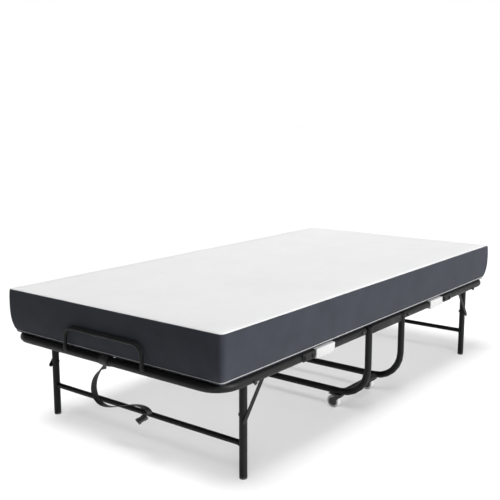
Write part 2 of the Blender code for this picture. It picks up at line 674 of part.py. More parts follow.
def fold_outline(mirror, offset):
    """The cut across the bed between a half and the middle: a quarter round, seen from the side."""
    centre = (MATTRESS_FOLD_X, MATTRESS_TOP)
    radius = MATTRESS_THICKNESS + offset
    curve = arc(centre, radius, 180, 270, 10)
    beyond = [(1.1, curve[-1][1] - 0.05), (1.1, MATTRESS_TOP + 0.05)]
    outline = [(curve[0][0], MATTRESS_TOP + 0.05), *curve, (curve[-1][0], curve[-1][1] - 0.05), *beyond]
    return [(mirror * u, v) for u, v in outline]


def make_mattress(foot_pivot, head_pivot, bed, fabric):
    """Two halves that ride on the decks, and the middle that bends between them."""
    middle = mattress_body("mattress_middle")
    for end, mirror, pivot in (("foot", -1, foot_pivot), ("head", 1, head_pivot)):
        half = mattress_body(f"mattress_{end}")
        keep = plate("keep", fold_outline(mirror, 0), [], -0.6, 1.2, UPRIGHT)
        combine(half, keep, "INTERSECT")
        finish(half, fabric, pivot)
        away = plate("away", fold_outline(mirror, GAP), [], -0.6, 1.2, UPRIGHT)
        combine(middle, away, "DIFFERENCE")
    finish(middle, fabric, bed)


# ---------------------------------------------------------------- retainer and strap


def make_retainer(pivot, black):
    """A bent rod that stands up from the foot tube and keeps the mattress from sliding off."""
    x = -RETAINER_X
    foot_x = -(END_X + RAIL_RADIUS + GAP)
    foot_z = RAIL_Z + 0.010
    low, high = RETAINER_Y
    corners = [(foot_x, low, foot_z), (x, low, foot_z), (x, low, RETAINER_TOP),
               (x, high, RETAINER_TOP), (x, high, foot_z), (foot_x, high, foot_z)]
    path = fillet(corners, (0.0068, RETAINER_BEND, RETAINER_BEND, 0.0068), 5)
    bar = swept("mattress_retainer", path, circle_points(RETAINER_RADIUS, 10), (0, 1, 0))
    finish(bar, black, pivot)


def smooth_route(points, per_span=3):
    """A Catmull-Rom curve through the points."""
    padded = [points[0], *points, points[-1]]
    route = []
    for p0, p1, p2, p3 in zip(padded, padded[1:], padded[2:], padded[3:]):
        for step in range(per_span):
            t = step / per_span
            route.append(0.5 * (2 * p1 + (p2 - p0) * t + (2 * p0 - 5 * p1 + 4 * p2 - p3) * t * t
                                + (3 * p1 - 3 * p2 + p3 - p0) * t ** 3))
    route.append(points[-1])
    return route


def make_strap(pivot, black, dark):
    """The webbing strap: a loop round the foot tube, the hanging tail, and a buckle on its end."""
    turns = 16
    inner = RAIL_RADIUS + GAP
    outer = inner + STRAP_THICKNESS
    bm = bmesh.new()
    rings = []
    for k in range(turns):
        angle = 2 * math.pi * k / turns
        ring = []
        for radius, y in ((inner, -0.5), (outer, -0.5), (outer, 0.5), (inner, 0.5)):
            ring.append(bm.verts.new((-END_X + radius / math.cos(math.pi / turns) * math.cos(angle),
                                      STRAP_ROUTE[0][0] + y * STRAP_LOOP_WIDTH,
                                      RAIL_Z + radius / math.cos(math.pi / turns) * math.sin(angle))))
        rings.append(ring)
    for k, ring in enumerate(rings):
        following = rings[(k + 1) % turns]
        for j in range(4):
            bm.faces.new((ring[j], ring[(j + 1) % 4], following[(j + 1) % 4], following[j]))
    strap = make_object("storage_strap", bm)

    shift = STRAP_X + END_X
    points = []
    for index, (y, z) in enumerate(STRAP_ROUTE):
        share = min(index / 3, 1.0)
        points.append(Vector((-END_X + shift * share, y, z)))
    path = smooth_route(points)
    half_w, half_t = STRAP_WIDTH / 2, STRAP_THICKNESS / 2
    section = [(-half_w, -half_t), (half_w, -half_t), (half_w, half_t), (-half_w, half_t)]
    combine(strap, swept("tail", path, section, (1, 0, 0)), "UNION")
    finish(strap, black, pivot)

    size = Vector(BUCKLE_SIZE)
    buckle = block("strap_buckle", (-size.x / 2, -size.y / 2, GAP), (size.x / 2, size.y / 2, size.z),
                   bevel=0.002, segments=1)
    heading = Vector(BUCKLE_HEADING).normalized()
    normal = heading.cross(Vector(BUCKLE_SIDE)).normalized()
    turn = Matrix((normal.cross(heading), normal, heading)).transposed().to_4x4()
    buckle.data.transform(Matrix.Translation(path[-1] + heading * BUCKLE_STANDOFF) @ turn)
    finish(buckle, dark, pivot)


def main():
    clear_scene()
    materials = {name: make_material(name) for name in COLOURS}
    black = materials["frame_black"]
    bed = make_empty("bed", (BED_SHIFT, 0, 0))
    make_base(bed, black)
    make_pivot_bolts(bed, materials["zinc"])
    make_centre_slats(bed, black)
    pivots = {}
    for end, mirror in (("foot", -1), ("head", 1)):
        deck = make_empty(f"{end}_deck_pivot", (mirror * PIVOT_X, 0, PIVOT_Z), bed)
        leg = make_empty(f"{end}_leg_pivot", (mirror * (LEG_X - PIVOT_X), 0, LEG_PIVOT_Z - PIVOT_Z), deck)
        brace = make_empty(f"{end}_brace_pivot", (0, 0, -BRACE_DROP), leg)
        make_deck(end, mirror, deck, materials)
        make_leg(end, mirror, leg, brace, materials)
        pivots[end] = deck
        for side, sign in (("near", -1), ("far", 1)):
            x, y = mirror * POST_X, sign * CASTER_Y
            swivel = make_empty(f"swivel_{end}_{side}", (x, y, WHEEL_RADIUS), bed)
            axle = make_empty(f"axle_{end}_{side}", (0, CASTER_TRAIL, 0), swivel)
            make_caster(f"{end}_{side}", x, y, swivel, axle, materials)
    make_mattress(pivots["foot"], pivots["head"], bed, materials["mattress_fabric"])
    make_retainer(pivots["foot"], black)
    make_strap(pivots["foot"], materials["webbing_black"], materials["plastic_dark"])


main()
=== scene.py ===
"""Looks for the rollaway bed: mattress, strap, materials, welds, floor, light and camera.

Everything is in metres, in the bed's own frame: X along it (foot at -X), Y across it, Z up.
"""

import json
import math

import bmesh
import bpy
import numpy as np
from mathutils import Matrix, Vector, noise


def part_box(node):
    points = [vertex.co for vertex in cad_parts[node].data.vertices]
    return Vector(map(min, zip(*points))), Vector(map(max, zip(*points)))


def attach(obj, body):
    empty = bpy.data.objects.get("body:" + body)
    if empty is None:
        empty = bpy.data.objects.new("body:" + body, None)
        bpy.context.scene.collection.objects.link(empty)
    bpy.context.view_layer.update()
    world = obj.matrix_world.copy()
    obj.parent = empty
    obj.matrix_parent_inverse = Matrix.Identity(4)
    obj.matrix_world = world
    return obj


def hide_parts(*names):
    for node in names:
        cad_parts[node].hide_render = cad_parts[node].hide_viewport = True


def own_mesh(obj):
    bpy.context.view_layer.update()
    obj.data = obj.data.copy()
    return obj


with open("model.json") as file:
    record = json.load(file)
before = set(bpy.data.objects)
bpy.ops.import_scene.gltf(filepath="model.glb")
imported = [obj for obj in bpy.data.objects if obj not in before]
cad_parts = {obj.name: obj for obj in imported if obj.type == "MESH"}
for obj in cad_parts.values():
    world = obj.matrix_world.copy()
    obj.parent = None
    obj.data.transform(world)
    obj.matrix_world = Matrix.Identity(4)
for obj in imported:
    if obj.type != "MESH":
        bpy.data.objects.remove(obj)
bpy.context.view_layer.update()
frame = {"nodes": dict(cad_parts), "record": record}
nodes = frame["nodes"]
scene = bpy.context.scene


# ---------------------------------------------------------------- materials


class Shader:
    """A material whose Principled shader is wired from procedural nodes."""

    def __init__(self, name, colour, roughness, **fixed):
        self.material = bpy.data.materials.new(name)
        self.material.use_nodes = True
        self.tree = self.material.node_tree
        self.bsdf = self.tree.nodes["Principled BSDF"]
        self.bsdf.inputs["Base Color"].default_value = (*colour, 1)
        self.bsdf.inputs["Roughness"].default_value = roughness
        for socket, value in fixed.items():
            self.bsdf.inputs[socket.replace("_", " ")].default_value = value
        self.material.diffuse_color = (*colour, 1)
        self.object = self.add("ShaderNodeTexCoord").outputs["Object"]

    def add(self, kind, **values):
        """A new node with the given properties."""
        node = self.tree.nodes.new(kind)
        for key, value in values.items():
            setattr(node, key, value)
        return node

    def put(self, socket, value):
        """Sets a socket to a number or a colour, or links an output to it."""
        if isinstance(value, bpy.types.NodeSocket):
            self.tree.links.new(value, socket)
        else:
            socket.default_value = value

    def noise(self, scale, detail=2.0, rough=0.5):
        node = self.add("ShaderNodeTexNoise")
        self.put(node.inputs["Vector"], self.object)
        node.inputs["Scale"].default_value = scale
        node.inputs["Detail"].default_value = detail
        node.inputs["Roughness"].default_value = rough
        return node.outputs["Fac"]

    def voronoi(self, scale, feature="F1"):
        node = self.add("ShaderNodeTexVoronoi", feature=feature)
        self.put(node.inputs["Vector"], self.object)
        node.inputs["Scale"].default_value = scale
        return node.outputs["Distance"]

    def math(self, operation, a, b=0.0, clamp=False):
        node = self.add("ShaderNodeMath", operation=operation, use_clamp=clamp)
        self.put(node.inputs[0], a)
        self.put(node.inputs[1], b)
        return node.outputs[0]

    def remap(self, value, low, high, to_low, to_high):
        """The value carried from one range to another, and kept inside it."""
        node = self.add("ShaderNodeMapRange")
        self.put(node.inputs["Value"], value)
        for socket, number in zip(("From Min", "From Max", "To Min", "To Max"),
                                  (low, high, to_low, to_high)):
            node.inputs[socket].default_value = number
        return node.outputs["Result"]

    def mix(self, factor, a, b):
        node = self.add("ShaderNodeMix", data_type="RGBA")
        self.put(node.inputs["Factor"], factor)
        self.put(node.inputs["A"], (*a, 1) if isinstance(a, tuple) else a)
        self.put(node.inputs["B"], (*b, 1) if isinstance(b, tuple) else b)
        return node.outputs["Result"]

    def axes(self, vector=None):
        """The X, Y and Z of a vector, or of the point itself."""
        node = self.add("ShaderNodeSeparateXYZ")
        self.put(node.inputs[0], vector or self.object)
        return node.outputs

    def colour(self, value):
        self.put(self.bsdf.inputs["Base Color"], value)

    def roughness(self, value):
        self.put(self.bsdf.inputs["Roughness"], value)

    def bump(self, height, distance, strength):
        """Adds a bump on top of the ones already there."""
        node = self.add("ShaderNodeBump")
        node.inputs["Strength"].default_value = strength
        node.inputs["Distance"].default_value = distance
        self.put(node.inputs["Height"], height)
        previous = self.bsdf.inputs["Normal"]
        if previous.is_linked:
            self.put(node.inputs["Normal"], previous.links[0].from_socket)
        self.put(previous, node.outputs["Normal"])


def ribs(shader, along, period):
    """A rounded rib every period metres, from 0 to 1."""
    wave = shader.math("SINE", shader.math("MULTIPLY", along, 2 * math.pi / period))
    return shader.remap(wave, -1, 1, 0, 1)


def powder_coat():
    """Satin black powder coat with orange peel and a little dust."""
    s = Shader("powder_coat_black", (0.0060, 0.0060, 0.0065), 0.50, Specular_IOR_Level=0.19)
    dust = s.remap(s.noise(9, 6, 0.62), 0.50, 0.78, 0, 1)
    s.colour(s.mix(s.math("MULTIPLY", dust, 0.30, clamp=True), (0.0055, 0.0055, 0.0060),
                   (0.018, 0.018, 0.019)))
    s.roughness(s.remap(s.noise(34, 4, 0.6), 0.3, 0.7, 0.42, 0.58))
    s.bump(s.noise(950, 2), 0.00010, 0.8)
    s.bump(s.noise(170, 3), 0.00010, 0.5)
    return s.material


def moulded_white():
    """White moulded plastic with a fine grain."""
    s = Shader("moulded_white", (0.52, 0.52, 0.515), 0.42, Subsurface_Weight=0.05,
               Subsurface_Scale=0.004)
    mottle = s.noise(45, 5, 0.6)
    s.colour(s.mix(s.remap(mottle, 0.35, 0.75, 0, 1), (0.45, 0.448, 0.450), (0.39, 0.388, 0.386)))
    s.roughness(s.remap(s.noise(120, 3), 0.3, 0.7, 0.36, 0.52))
    s.bump(s.voronoi(700), 0.00010, 0.5)
    return s.material


def wheel_white():
    """White wheel rubber, greyed in patches by scuffs."""
    s = Shader("wheel_white", (0.60, 0.60, 0.59), 0.32, Coat_Weight=0.15, Coat_Roughness=0.25)
    scuffs = s.remap(s.noise(150, 6, 0.7), 0.52, 0.72, 0, 1)
    s.colour(s.mix(s.math("MULTIPLY", scuffs, 0.45, clamp=True), (0.47, 0.47, 0.465),
                   (0.28, 0.277, 0.27)))
    s.roughness(s.remap(scuffs, 0, 1, 0.30, 0.60))
    s.bump(s.noise(420, 3), 0.00008, 0.6)
    return s.material


def plastic_dark():
    """Near-black moulded plastic with a leathery grain."""
    s = Shader("moulded_dark", (0.030, 0.030, 0.032), 0.45)
    s.colour(s.mix(s.noise(40, 4, 0.6), (0.024, 0.024, 0.026), (0.046, 0.046, 0.048)))
    s.roughness(s.remap(s.noise(75, 4), 0.3, 0.7, 0.38, 0.58))
    s.bump(s.voronoi(1300), 0.00006, 0.6)
    return s.material


def dark_steel():
    """Darkened zinc plate on bolts and shafts."""
    s = Shader("dark_steel", (0.040, 0.040, 0.042), 0.38, Metallic=0.9)
    spangle = s.noise(220, 4, 0.65)
    s.colour(s.mix(spangle, (0.030, 0.030, 0.032), (0.060, 0.060, 0.062)))
    s.roughness(s.remap(s.noise(90, 5, 0.7), 0.3, 0.7, 0.30, 0.50))
    s.bump(s.noise(1500, 2), 0.00003, 0.6)
    return s.material


def knit_border():
    """Charcoal knit: fine upright wales and cross courses with a slight heather."""
    s = Shader("knit_charcoal", (0.030, 0.033, 0.042), 0.90, Sheen_Weight=0.06,
               Sheen_Roughness=0.5, Specular_IOR_Level=0.15)
    x, y, z = s.axes()
    wobble = s.math("MULTIPLY", s.noise(60, 2), 0.0009)
    around = s.math("ADD", s.math("ADD", x, y), wobble)
    wale = ribs(s, around, 0.0022)
    course = ribs(s, s.math("ADD", z, wobble), 0.0016)
    heather = s.math("ADD", s.math("MULTIPLY", s.noise(1100, 2), 0.5),
                     s.math("MULTIPLY", s.noise(14, 4, 0.6), 0.5))
    s.colour(s.mix(s.remap(heather, 0.36, 0.64, 0, 1), (0.0225, 0.0248, 0.0325),
                   (0.0328, 0.0362, 0.0465)))
    s.roughness(s.remap(heather, 0.3, 0.7, 0.82, 0.94))
    s.bump(s.math("MULTIPLY", wale, course), 0.00022, 0.7)
    s.bump(s.noise(26, 3, 0.55), 0.0010, 0.35)
    return s.material


def knit_white(name, light, dark):
    """White jacquard knit: small dimples on a fine square knit."""
    s = Shader(name, light, 0.86, Sheen_Weight=0.10, Sheen_Roughness=0.5, Specular_IOR_Level=0.25)
    x, y, _ = s.axes()
    grid = s.math("MULTIPLY", ribs(s, x, 0.0018), ribs(s, y, 0.0018))
    dimple = s.voronoi(95, "SMOOTH_F1")
    cloud = s.noise(5, 5, 0.6)
    s.colour(s.mix(s.remap(cloud, 0.30, 0.72, 0, 1), light, dark))
    s.roughness(s.remap(cloud, 0.3, 0.7, 0.80, 0.92))
    s.bump(grid, 0.00018, 0.6)
    s.bump(dimple, 0.0008, 0.28)
    return s.material


def piping_white():
    """Pale piping cord in twill tape."""
    s = Shader("piping_white", (0.42, 0.42, 0.42), 0.7, Sheen_Weight=0.15, Sheen_Roughness=0.4)
    x, y, z = s.axes()
    lay = s.math("ADD", s.math("ADD", x, y), s.math("MULTIPLY", z, 1.6))
    twill = ribs(s, lay, 0.0012)
    s.colour(s.mix(twill, (0.36, 0.36, 0.36), (0.48, 0.48, 0.475)))
    s.roughness(s.remap(s.noise(200, 3), 0.3, 0.7, 0.62, 0.80))
    s.bump(twill, 0.00020, 0.8)
    return s.material


def webbing():
    """Black nylon webbing: a herringbone weave that follows the strap's own length and width."""
    s = Shader("webbing_black", (0.010, 0.010, 0.011), 0.62, Sheen_Weight=0.12,
               Sheen_Roughness=0.35)
    uv = s.add("ShaderNodeUVMap", uv_map="length").outputs["UV"]
    across, along, _ = s.axes(uv)
    fold = s.math("ABSOLUTE", across)
    chevron = ribs(s, s.math("ADD", along, fold), 0.0022)
    cord = ribs(s, across, 0.0016)
    edge = s.remap(fold, 0.0108, 0.0118, 0, 1)
    height = s.math("ADD", s.math("MULTIPLY", chevron, 0.6), s.math("MULTIPLY", cord, 0.4))
    fuzz = s.noise(500, 3)
    s.colour(s.mix(s.math("MULTIPLY", height, fuzz), (0.007, 0.007, 0.008), (0.030, 0.030, 0.032)))
    s.roughness(s.remap(edge, 0, 1, 0.60, 0.78))
    s.bump(height, 0.00035, 0.9)
    return s.material


def floor_paint():
    """The plain pale floor."""
    s = Shader("studio_floor", (0.70, 0.70, 0.70), 0.75)
    s.colour(s.mix(s.noise(0.8, 3), (0.695, 0.695, 0.695), (0.71, 0.71, 0.71)))
    s.roughness(s.remap(s.noise(3, 3), 0.3, 0.7, 0.70, 0.80))
    return s.material


MATERIALS = {
    "frame_black": powder_coat(),
    "sleeve_white": moulded_white(),
    "zinc": dark_steel(),
    "wheel_white": wheel_white(),
    "plastic_dark": plastic_dark(),
    "webbing_black": webbing(),
}


# ---------------------------------------------------------------- carried-over parts

MERGE_DISTANCE = 1e-5
SHARP_EDGE = 40  # degrees


def rounded_shading():
    """A node group that shades a faceted solid smooth, and leaves its sharp edges sharp."""
    group = bpy.data.node_groups.new("rounded_shading", "GeometryNodeTree")
    for way in ("INPUT", "OUTPUT"):
        group.interface.new_socket("Geometry", in_out=way, socket_type="NodeSocketGeometry")
    add, join = group.nodes.new, group.links.new
    plain = add("GeometryNodeRemoveAttribute")
    plain.inputs["Name"].default_value = "custom_normal"
    merged = add("GeometryNodeMergeByDistance")
    merged.inputs["Distance"].default_value = MERGE_DISTANCE
    round_faces = add("GeometryNodeSetShadeSmooth")
    sharp_edges = add("GeometryNodeSetShadeSmooth")
    sharp_edges.domain = "EDGE"
    sharp_edges.inputs["Shade Smooth"].default_value = False
    steps = [add("NodeGroupInput"), plain, merged, round_faces, sharp_edges, add("NodeGroupOutput")]
    for step, following in zip(steps, steps[1:]):
        join(step.outputs[0], following.inputs[0])
    steep = add("ShaderNodeMath")
    steep.operation = "GREATER_THAN"
    join(add("GeometryNodeInputMeshEdgeAngle").outputs["Unsigned Angle"], steep.inputs[0])
    steep.inputs[1].default_value = math.radians(SHARP_EDGE)
    join(steep.outputs[0], sharp_edges.inputs["Selection"])
    return group


slots = {s["node"]: s["material_slot"] for s in frame["record"]["subparts"]}
shading = rounded_shading()
for name, node in nodes.items():
    if slots[name] in MATERIALS:
        node.data.materials.clear()
        node.data.materials.append(MATERIALS[slots[name]])
        node.modifiers.new("rounded_shading", "NODES").node_group = shading


# ---------------------------------------------------------------- mesh helpers


def new_object(name, mesh, materials):
    piece = bpy.data.objects.new(name, mesh)
    scene.collection.objects.link(piece)
    for material in materials:
        mesh.materials.append(material)
    return piece


def to_mesh(name, bm):
    """Turns the bmesh into a mesh and frees it."""
    mesh = bpy.data.meshes.new(name)
    bm.to_mesh(mesh)
    bm.free()
    return mesh


def smooth(mesh, angle):
    """Smooth shading, but for edges sharper than the angle in degrees."""
    mesh.shade_smooth()
    mesh.set_sharp_from_angle(angle=math.radians(angle))


def cut(piece, cutter, operation):
    """Applies a boolean of the cutter to the piece."""
    modifier = piece.modifiers.new("cut", "BOOLEAN")
    modifier.operation = operation
    modifier.solver = "EXACT"
    modifier.object = cutter
    graph = bpy.context.evaluated_depsgraph_get()
    mesh = bpy.data.meshes.new_from_object(piece.evaluated_get(graph))
    piece.modifiers.clear()
    piece.data = mesh


# ---------------------------------------------------------------- mattress

TOP, BORDER, PIPING, BOTTOM = range(4)  # places in this list
MATTRESS_MATERIALS = [
    knit_white("knit_white_top", (0.745, 0.745, 0.745), (0.715, 0.715, 0.717)),
    knit_border(),
    piping_white(),
    knit_white("knit_white_under", (0.77, 0.77, 0.77), (0.70, 0.70, 0.705)),
]

middle_low, middle_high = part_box("mattress_middle")
foot_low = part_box("mattress_foot")[0]
head_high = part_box("mattress_head")[1]
CENTRE_X = (foot_low[0] + head_high[0]) / 2
HALF_X = (head_high[0] - foot_low[0]) / 2
HALF_Y = (middle_high[1] - middle_low[1]) / 2
BASE_Z = middle_low[2]
THICK = middle_high[2] - middle_low[2]

CORNER = 0.0165  # radius of the plan's corners where the mattress is widest
CORNER_TIGHTENS = 0.25  # how much of the inset the radius loses
CORNER_LEAST = 0.010
SMALL_INSET = 0.010  # shows which way the widest outline faces
CORNER_LINES = 6
CELL = 0.015

PIPE_INSET, PIPE_Z, PIPE_R = 0.0158, 0.0060, 0.0012
PIPE_TURN = 75  # degrees from level to where the piping meets the border
PIPE_RISE = 0.97  # height of its last line, as a share of the radius

# The mattress's side from its underside to its top: the inset from the widest outline, the
# height, and the cloth above that line
UNDER_EDGE = [
    (0.0345, 0.0000), (0.0328, -0.0002), (0.0308, -0.0004), (0.0290, -0.0004), (0.0245, -0.0004),
    (0.0205, -0.0004), (0.0180, -0.0003), (0.0165, 0.0006), (0.0160, 0.0028)]
PIPE_LINES = [
    (PIPE_INSET - PIPE_R * math.cos(math.radians(a)), PIPE_Z + PIPE_R * math.sin(math.radians(a)))
    for a in (-PIPE_TURN, -40, 0, 40)]
PIPE_END = (PIPE_INSET - PIPE_R * math.cos(math.radians(PIPE_TURN)), PIPE_Z + PIPE_R * PIPE_RISE)
WALL = [
    (0.0148, 0.0084), (0.0130, 0.0106), (0.0110, 0.0144), (0.0087, 0.0208), (0.0063, 0.0292),
    (0.0040, 0.0400), (0.0022, 0.0520), (0.0009, 0.0650), (0.0001, 0.0790), (0.0000, 0.0930),
    (0.0000, 0.1070), (0.0003, 0.1190), (0.0007, 0.1290), (0.0012, 0.1375), (0.0018, 0.1435),
    (0.0027, 0.1480), (0.0040, 0.1503)]
TOP_EDGE = [
    (0.0052, 0.1508), (0.0062, 0.1516), (0.0085, 0.1523), (0.0135, 0.1528), (0.0235, 0.1532),
    (0.0375, 0.1535)]
# The underside's rounded edge below the piping (UNDER_EDGE) gets the charcoal border cloth: painted
# shade for the dark gap where the mattress sits on the rails, not the bottom's own white cloth.
OUTLINE = [(inset, z, material)
           for lines, material in ((UNDER_EDGE, BORDER), (PIPE_LINES, PIPING),
                                   ([PIPE_END, *WALL], BORDER), (TOP_EDGE, TOP))
           for inset, z in lines]
FIRST_PUSHED_LINE = len(UNDER_EDGE) + len(PIPE_LINES) + 2  # the wall's second line
FIRST_TOP_LINE = len(OUTLINE) - len(TOP_EDGE)
FIRST_LIFTED_LINE = len(OUTLINE) - 3  # from here in, the top rises and falls with the lumps

# At each end the underside's first lines sag by this much between the end tube and the slats,
# but not near the corners or over the strap's loop
END_SAG = (0.0, 0.0, 0.0055, 0.0062, 0.0034, 0.0012)
END_SAG_CORNER = 0.045
LOOP_Y, LOOP_CLEARANCE = 0.004, 0.024

LUMPS = ((5.0, 0.0011), (13.0, 0.0006))  # scale and height of the soft lumps
TOP_LUMPS = 0.9
PUCKER_SCALE, PUCKER_HEIGHT = Vector((38, 38, 5)), 0.0010
LOW_SEAM, LOW_SEAM_SPREAD = 0.10, 0.10  # as shares of the thickness
HIGH_SEAM, HIGH_SEAM_SPREAD, HIGH_SEAM_SHARE = 0.93, 0.07, 0.5
CROWN, CROWN_RUN = 0.0012, 0.2

# The fold: each half's underside starts at FOLD_X, and its end is a quarter round up to the top
FOLD_X = abs(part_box("mattress_foot")[1][0] - CENTRE_X) + THICK
FOLD_TOP = BASE_Z + THICK
FOLD_STEPS = 25
REACH_X, REACH_Y, REACH_Z = 1.4, 0.7, 0.12  # how far a cutter reaches past the mattress


def grid_lines(half):
    """Lines across the mattress, from -1 to +1, as (share of the flat part, share of the corner)."""
    flat = max(2, round(2 * (half - CORNER) / CELL))
    lines = [(-1, 1 - k / CORNER_LINES) for k in range(CORNER_LINES)]
    lines += [(2 * k / flat - 1, 0) for k in range(flat + 1)]
    lines += [(1, k / CORNER_LINES) for k in range(1, CORNER_LINES + 1)]
    return lines


LINES_X = grid_lines(HALF_X)
LINES_Y = grid_lines(HALF_Y)


def plan_point(line_x, line_y, inset):
    """A grid point carried into the rounded rectangle that is inset from the widest outline."""
    radius = max(CORNER - CORNER_TIGHTENS * inset, CORNER_LEAST)
    a, b = HALF_X - inset - radius, HALF_Y - inset - radius
    u, v = line_x[1], line_y[1]
    x = line_x[0] * a + math.copysign(radius * u * math.sqrt(1 - v * v / 2), line_x[0])
    y = line_y[0] * b + math.copysign(radius * v * math.sqrt(1 - u * u / 2), line_y[0])
    return x, y


def lumps(x, y, z):
    """How far the filling's soft lumps lift the cloth."""
    return sum(noise.noise(Vector((x, y, z)) * scale) * height for scale, height in LUMPS)


def side_ripple(x, y, z):
    """How far the side's cloth stands off its smooth shape: lumps, and puckers near the seams."""
    share = z / THICK
    pucker = noise.noise(Vector((x, y, z)) * PUCKER_SCALE) * PUCKER_HEIGHT
    near_seam = (math.exp(-((share - LOW_SEAM) / LOW_SEAM_SPREAD) ** 2)
                 + HIGH_SEAM_SHARE * math.exp(-((share - HIGH_SEAM) / HIGH_SEAM_SPREAD) ** 2))
    return lumps(x, y, z) * math.sin(math.pi * min(max(share, 0), 1)) + pucker * near_seam


def outward(line_x, line_y, inset):
    """The level direction in which the side faces at a grid point."""
    wide = Vector(plan_point(line_x, line_y, 0))
    return (wide - Vector(plan_point(line_x, line_y, inset or SMALL_INSET))).normalized()


def side_point(index, line_x, line_y):
    """A point on one line of the mattress's side."""
    inset, z, _ = OUTLINE[index]
    x, y = plan_point(line_x, line_y, inset)
    out = outward(line_x, line_y, inset)
    push = side_ripple(x, y, z) if FIRST_PUSHED_LINE <= index < FIRST_TOP_LINE else 0
    lift = lumps(x, y, z) * TOP_LUMPS if index >= FIRST_LIFTED_LINE else 0
    at_end = HALF_X - abs(x) < HALF_Y - abs(y) - END_SAG_CORNER
    if index < len(END_SAG) and at_end and abs(y - LOOP_Y) > LOOP_CLEARANCE:
        lift = -END_SAG[index]
    return CENTRE_X + x + out.x * push, y + out.y * push, BASE_Z + z + lift


def fill_face(bm, ring, row, inset, height, material):
    """The top or the underside: a grid of faces inside the last line of the side."""
    count_x, count_y = len(LINES_X), len(LINES_Y)
    grid = dict(zip(ring, row))
    for i in range(count_x):
        for j in range(count_y):
            if (i, j) in grid:
                continue
            x, y = plan_point(LINES_X[i], LINES_Y[j], inset)
            lift = 0
            if material == TOP:
                fade = min(1, (HALF_X - abs(x)) / CROWN_RUN) * min(1, (HALF_Y - abs(y)) / CROWN_RUN)
                lift = lumps(x, y, height) * TOP_LUMPS + CROWN * fade
            grid[i, j] = bm.verts.new((CENTRE_X + x, y, BASE_Z + height + lift))
    for i in range(count_x - 1):
        for j in range(count_y - 1):
            quad = (grid[i, j], grid[i + 1, j], grid[i + 1, j + 1], grid[i, j + 1])
            face = bm.faces.new(quad if material == TOP else quad[::-1])
            face.material_index = material
            rim = max(LINES_X[i][1], LINES_X[i + 1][1], LINES_Y[j][1], LINES_Y[j + 1][1])
            # The underside's rim also gets the charcoal border cloth: painted shade under the piping,
            # on cloth that is white.
            if material == BOTTOM and rim > 0:
                face.material_index = BORDER


def mattress_mesh():
    """The whole mattress as one closed skin."""
    bm = bmesh.new()
    last_x, last_y = len(LINES_X) - 1, len(LINES_Y) - 1
    ring = [(i, 0) for i in range(last_x)] + [(last_x, j) for j in range(last_y)]
    ring += [(i, last_y) for i in range(last_x, 0, -1)] + [(0, j) for j in range(last_y, 0, -1)]
    rows = [[bm.verts.new(side_point(index, LINES_X[i], LINES_Y[j])) for i, j in ring]
            for index in range(len(OUTLINE))]
    for (_, _, material), lower, upper in zip(OUTLINE, rows, rows[1:]):
        for k in range(len(ring)):
            following = (k + 1) % len(ring)
            face = bm.faces.new((lower[k], lower[following], upper[following], upper[k]))
            face.material_index = material
    fill_face(bm, ring, rows[-1], OUTLINE[-1][0], OUTLINE[-1][1], TOP)
    fill_face(bm, ring, rows[0], OUTLINE[0][0], OUTLINE[0][1], BOTTOM)
    bmesh.ops.recalc_face_normals(bm, faces=bm.faces)
    return to_mesh("mattress", bm)


def upright_plate(name, outline):
    """An outline in X and Z, drawn out across the whole bed, as a cutter faced in bottom cloth."""
    bm = bmesh.new()
    near, far = [[bm.verts.new((x, y, z)) for x, z in outline] for y in (-REACH_Y, REACH_Y)]
    count = len(outline)
    for k in range(count):
        following = (k + 1) % count
        bm.faces.new((near[k], near[following], far[following], far[k]))
    bm.faces.new(near[::-1])
    bm.faces.new(far)
    for face in bm.faces:
        face.material_index = BOTTOM
        face.smooth = True
    bmesh.ops.recalc_face_normals(bm, faces=bm.faces)
    return new_object(name, to_mesh(name, bm), MATTRESS_MATERIALS)


def fold_outline(mirror):
    """The cutter for one half: everything beyond the quarter round at the fold."""
    curve = [(FOLD_X + THICK * math.cos(a), FOLD_TOP + THICK * math.sin(a))
             for a in np.linspace(math.pi, 1.5 * math.pi, FOLD_STEPS)]
    outline = [(curve[0][0], FOLD_TOP + REACH_Z), *curve, (curve[-1][0], BASE_Z - REACH_Z),
               (REACH_X, BASE_Z - REACH_Z), (REACH_X, FOLD_TOP + REACH_Z)]
    return [(CENTRE_X + mirror * x, z) for x, z in outline]


def build_mattress():
    """Each half rides on its deck, and each half of the middle, cut at the fold, rides on the base.
    """
    whole = mattress_mesh()
    for end, mirror in (("foot", -1), ("head", 1)):
        half = new_object(f"mattress_{end}_half", whole.copy(), MATTRESS_MATERIALS)
        middle = new_object(f"mattress_middle_{end}", whole.copy(), MATTRESS_MATERIALS)
        fold = upright_plate("fold", fold_outline(mirror))
        cut(half, fold, "INTERSECT")
        cut(middle, fold, "DIFFERENCE")
        beyond = CENTRE_X + mirror * REACH_X
        side = upright_plate("side", [(CENTRE_X, BASE_Z - REACH_Z), (beyond, BASE_Z - REACH_Z),
                                      (beyond, FOLD_TOP + REACH_Z), (CENTRE_X, FOLD_TOP + REACH_Z)])
        cut(middle, side, "INTERSECT")
        for cutter in (fold, side):
            bpy.data.objects.remove(cutter, do_unlink=True)
        for piece in (half, middle):
            smooth(piece.data, 50)
        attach(half, f"{end}_deck")
        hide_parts(f"mattress_{end}")
        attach(middle, "base")
        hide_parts("mattress_middle")
        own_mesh(middle)


build_mattress()


# ---------------------------------------------------------------- storage strap

BED_SHIFT = (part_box("foot_end_frame")[0][0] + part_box("head_end_frame")[1][0]) / 2
END_X, RAIL_Z, RAIL_RADIUS = 0.9375, 0.319, 0.015  # the end tube's middle line and radius
STRAP_X, STRAP_HALF, STRAP_THICKNESS = -0.900, 0.0125, 0.0016
